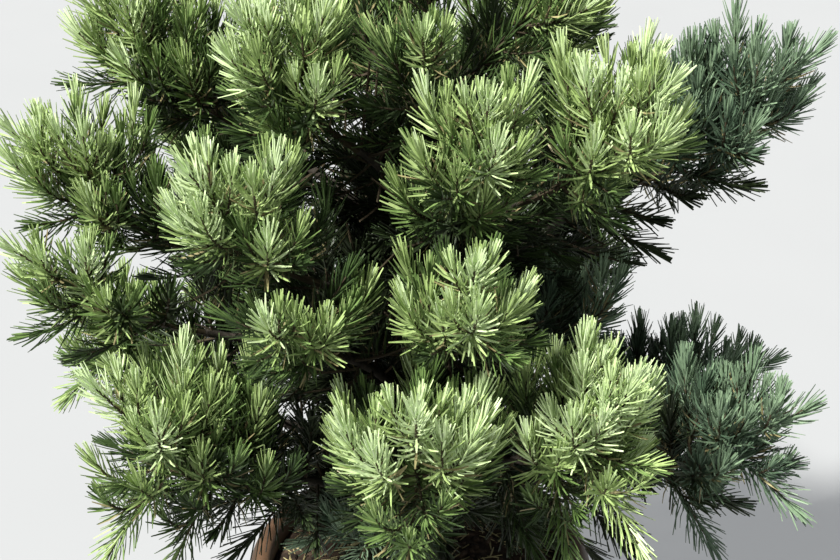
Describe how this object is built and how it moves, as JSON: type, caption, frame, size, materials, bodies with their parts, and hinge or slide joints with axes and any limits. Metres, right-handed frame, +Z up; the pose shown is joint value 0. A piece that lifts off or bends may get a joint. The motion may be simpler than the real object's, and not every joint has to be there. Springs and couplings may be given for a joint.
{
  "type": "potted conifer",
  "caption": "Dwarf conifer with soft brush-like needle shoots on spreading boughs, growing in a plain round pot that stands on its flat underside.",
  "frame": {"origin": "centre of the pot's flat underside, on the surface that the pot stands on", "axes": "+Z up, -Y towards the viewer of the picture, +X to the right of the picture"},
  "size_m": [0.6457, 0.6058, 0.8689],
  "materials": {
    "clay": "matt fired clay",
    "soil": "crumbly compost",
    "bark": "rough bark",
    "needles": "soft satin needles"
  },
  "bodies": {
    "root": {"pot": "clay", "soil": "soil", "trunk": "bark", "bough_low_left_front": "bark", "bough_low_front": "bark", "bough_low_right_front": "bark", "bough_low_right": "bark", "bough_low_right_back": "bark", "bough_low_back_right": "bark", "bough_low_back": "bark", "bough_low_back_left": "bark", "bough_low_left": "bark", "bough_mid_left": "bark", "bough_mid_left_front": "bark", "bough_mid_front_left": "bark", "bough_mid_front_low": "bark", "bough_mid_front": "bark", "bough_mid_right_back": "bark", "bough_mid_back": "bark", "bough_mid_back_left": "bark", "bough_high_front": "bark", "bough_high_left": "bark", "bough_high_left_front": "bark", "bough_high_right_front": "bark", "bough_high_right": "bark", "bough_high_right_back": "bark", "bough_high_back": "bark", "foliage_low_left_front": "needles", "foliage_low_front": "needles", "foliage_low_right_front": "needles", "foliage_low_right": "needles", "foliage_low_right_back": "needles", "foliage_low_back_right": "needles", "foliage_low_back": "needles", "foliage_low_back_left": "needles", "foliage_low_left": "needles", "foliage_mid_left": "needles", "foliage_mid_left_front": "needles", "foliage_mid_front_left": "needles", "foliage_mid_front_low": "needles", "foliage_mid_front": "needles", "foliage_mid_right_back": "needles", "foliage_mid_back": "needles", "foliage_mid_back_left": "needles", "foliage_high_front": "needles", "foliage_high_left": "needles", "foliage_high_left_front": "needles", "foliage_high_right_front": "needles", "foliage_high_right": "needles", "foliage_high_right_back": "needles", "foliage_high_back": "needles", "foliage_top_front": "needles", "foliage_top_left": "needles", "foliage_top_right": "needles", "foliage_inner_right": "needles", "foliage_inner_left": "needles", "foliage_inner_right_low": "needles", "foliage_inner_back_left": "needles", "foliage_inner_front": "needles", "foliage_leader": "needles"}
  },
  "joints": []
}
